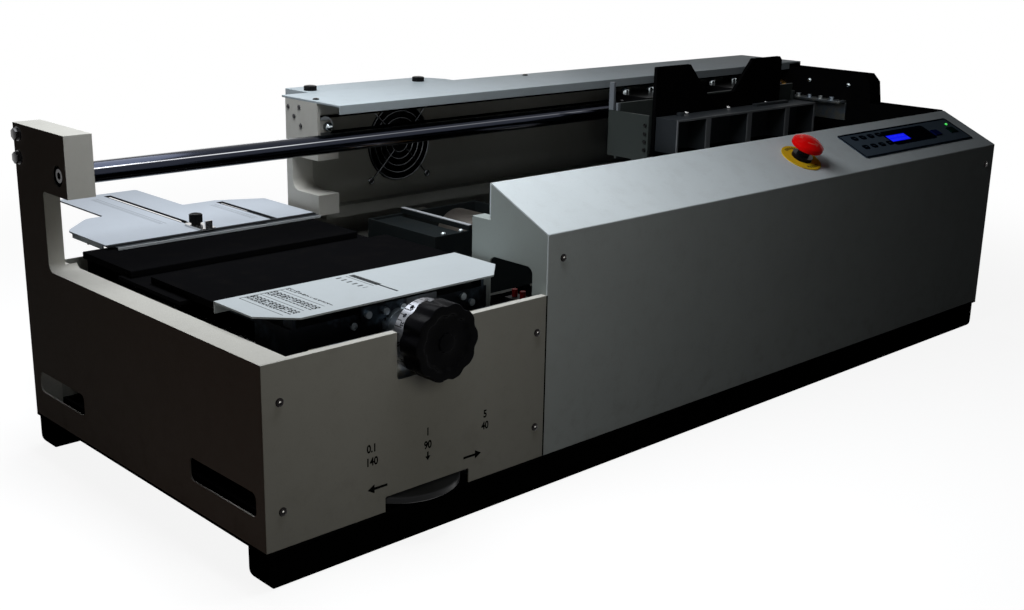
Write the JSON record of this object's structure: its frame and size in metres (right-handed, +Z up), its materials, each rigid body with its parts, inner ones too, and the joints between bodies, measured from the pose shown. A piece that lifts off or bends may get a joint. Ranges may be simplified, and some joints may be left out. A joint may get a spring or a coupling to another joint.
{
  "type": "perfect binding machine",
  "caption": "Long desk perfect binder: nip station with cover tables, glue tank, spine cutter and a clamp carriage on a guide rod, in a folded sheet casing.",
  "frame": {"origin": "middle of the whole footprint, on the surface that the skid rails stand on", "axes": "+X along the machine from the nip station to the carriage's home end, +Y from the front face with its controls to the back, +Z up"},
  "size_m": [1.417, 0.75, 0.429],
  "materials": {
    "casing_light": "pale warm grey powder coat, fine texture",
    "cover_grey": "light grey powder coat, fine texture",
    "black_satin": "black satin powder coat",
    "table_white": "off-white smooth paint",
    "plate_grey": "blue-grey paint on folded sheet",
    "bright_steel": "ground and polished steel",
    "zinc": "zinc-plated steel",
    "alu": "bare machined aluminium",
    "brass": "turned brass",
    "black_plastic": "black moulded plastic",
    "black_rubber": "black rubber",
    "red_plastic": "red moulded plastic",
    "yellow_plastic": "yellow moulded plastic",
    "overlay_blue": "blue-grey printed membrane",
    "display_glass": "dark display window",
    "key_blue": "dark blue key cap",
    "key_green": "dark green key cap",
    "roller_steel": "turned steel dulled by glue"
  },
  "bodies": {
    "machine": {"base_tray": "black_satin", "front_rail": "black_rubber", "rear_rail": "black_rubber", "left_end_panel": "casing_light", "rod_block": "alu", "hex_bolts": "zinc", "front_panel": "casing_light", "panel_screws": "zinc", "front_cover": "cover_grey", "cover_end_left": "cover_grey", "right_end_panel": "black_satin", "right_ledge": "zinc", "rod_bush": "brass", "guide_rod": "bright_steel", "rear_back_wall": "casing_light", "rear_end_plate": "casing_light", "rear_top_cover": "casing_light", "filter_box": "casing_light", "filter_knobs": "black_plastic", "fan_frame": "black_plastic", "fan_guard": "bright_steel", "drive_belt": "black_rubber", "drive_motor": "zinc", "nip_support": "black_satin", "rear_nip_plate": "black_satin", "rear_table_support": "plate_grey", "rear_table": "table_white", "nip_bracket": "zinc", "nip_guides": "bright_steel", "glue_tank": "black_satin", "glue_motor": "zinc", "milling_motor": "black_satin", "control_overlay": "overlay_blue", "lcd_window": "display_glass", "estop_ring": "yellow_plastic", "estop_body": "black_plastic", "terminal_block": "black_plastic", "power_inlet": "black_plastic"},
    "nip_table": {"front_nip_plate": "black_satin", "nip_slide": "zinc", "scale_table": "table_white"},
    "nip_knob": {"knob": "black_plastic", "dial_shaft": "alu"},
    "wheel": {"thumb_wheel": "black_plastic"},
    "platform": {"nip_platform": "zinc"},
    "carriage": {"carriage_frame": "plate_grey", "bearing_blocks": "alu", "fixed_jaw": "black_satin"},
    "clamp": {"clamp_jaw": "black_satin"},
    "idler": {"idler_pulley": "alu"},
    "drive": {"drive_pulley": "alu"},
    "fan": {"fan_rotor": "black_plastic"},
    "cutter": {"milling_cutter": "bright_steel"},
    "roller": {"glue_roller": "roller_steel"},
    "stop_plunger": {"estop_stem": "black_plastic"},
    "stop_button": {"estop_head": "red_plastic"},
    "key_stop": {"stop_key": "key_blue"},
    "key_start": {"start_key": "key_green"},
    "guide": {"side_stop": "zinc"},
    "guide_screw": {"thumb_screw": "black_plastic"}
  },
  "joints": [
    {"name": "nip_slide_travel", "type": "slide", "parent": "machine", "child": "nip_table", "axis": [0, 1, 0], "range_m": [-0.02, 0.033]},
    {"name": "knob_turn", "type": "hinge", "parent": "machine", "child": "nip_knob", "pos_m": [-0.4975, -0.342, 0.225], "axis": [0, 1, 0], "range_deg": [-1195, 725]},
    {"name": "platform_lift", "type": "slide", "parent": "machine", "child": "platform", "axis": [0, 0, 1], "range_m": [-0.008, 0]},
    {"name": "thumb_wheel_turn", "type": "hinge", "parent": "machine", "child": "wheel", "pos_m": [-0.5005, -0.2935, 0.042], "axis": [0, 0, 1], "range_deg": [-5, 965]},
    {"name": "carriage_travel", "type": "slide", "parent": "machine", "child": "carriage", "axis": [-1, 0, 0], "range_m": [0, 0.858]},
    {"name": "idler_turn", "type": "hinge", "parent": "machine", "child": "idler", "pos_m": [-0.3045, 0.112, 0.372], "axis": [0, 1, 0], "range_deg": [-4700, 10]},
    {"name": "drive_pulley_turn", "type": "hinge", "parent": "machine", "child": "drive", "pos_m": [0.6385, 0.112, 0.372], "axis": [0, 1, 0], "range_deg": [-4700, 10]},
    {"name": "jaw_slide", "type": "slide", "parent": "carriage", "child": "clamp", "axis": [0, -1, 0], "range_m": [0, 0.05]},
    {"name": "fan_spin", "type": "hinge", "parent": "machine", "child": "fan", "pos_m": [-0.1335, 0.17, 0.3275], "axis": [0, 1, 0], "continuous": true},
    {"name": "cutter_spin", "type": "hinge", "parent": "machine", "child": "cutter", "pos_m": [0.0985, -0.015, 0.242], "axis": [0, 0, 1], "continuous": true},
    {"name": "roller_spin", "type": "hinge", "parent": "machine", "child": "roller", "pos_m": [-0.1515, -0.021, 0.218], "axis": [0, 1, 0], "continuous": true},
    {"name": "stop_press", "type": "slide", "parent": "machine", "child": "stop_plunger", "axis": [0, 0.4173, -0.9088], "range_m": [0, 0.005], "stiffness_N_per_m": 2500},
    {"name": "stop_twist", "type": "hinge", "parent": "stop_plunger", "child": "stop_button", "pos_m": [0.2265, -0.304, 0.34646], "axis": [0, 0.4173, -0.9088], "range_deg": [0, 45], "stiffness_Nm_per_rad": 0.1},
    {"name": "stop_key_press", "type": "slide", "parent": "machine", "child": "key_stop", "axis": [0, 0.4173, -0.9088], "range_m": [0, 0.0015], "stiffness_N_per_m": 1200},
    {"name": "start_key_press", "type": "slide", "parent": "machine", "child": "key_start", "axis": [0, 0.4173, -0.9088], "range_m": [0, 0.0015], "stiffness_N_per_m": 1200},
    {"name": "guide_slide", "type": "slide", "parent": "machine", "child": "guide", "axis": [0, 1, 0], "range_m": [-0.008, 0.23]},
    {"name": "guide_screw_turn", "type": "hinge", "parent": "guide", "child": "guide_screw", "pos_m": [-0.4955, 0.12, 0.267], "axis": [0, 0, 1], "range_deg": [0, 360]}
  ],
  "couplings": [
    {"joint": "knob_turn", "follows": "nip_slide_travel", "rad_per_m": -628.32},
    {"joint": "thumb_wheel_turn", "follows": "platform_lift", "rad_per_m": -2094.4},
    {"joint": "idler_turn", "follows": "carriage_travel", "rad_per_m": -92.593},
    {"joint": "drive_pulley_turn", "follows": "carriage_travel", "rad_per_m": -92.593}
  ]
}
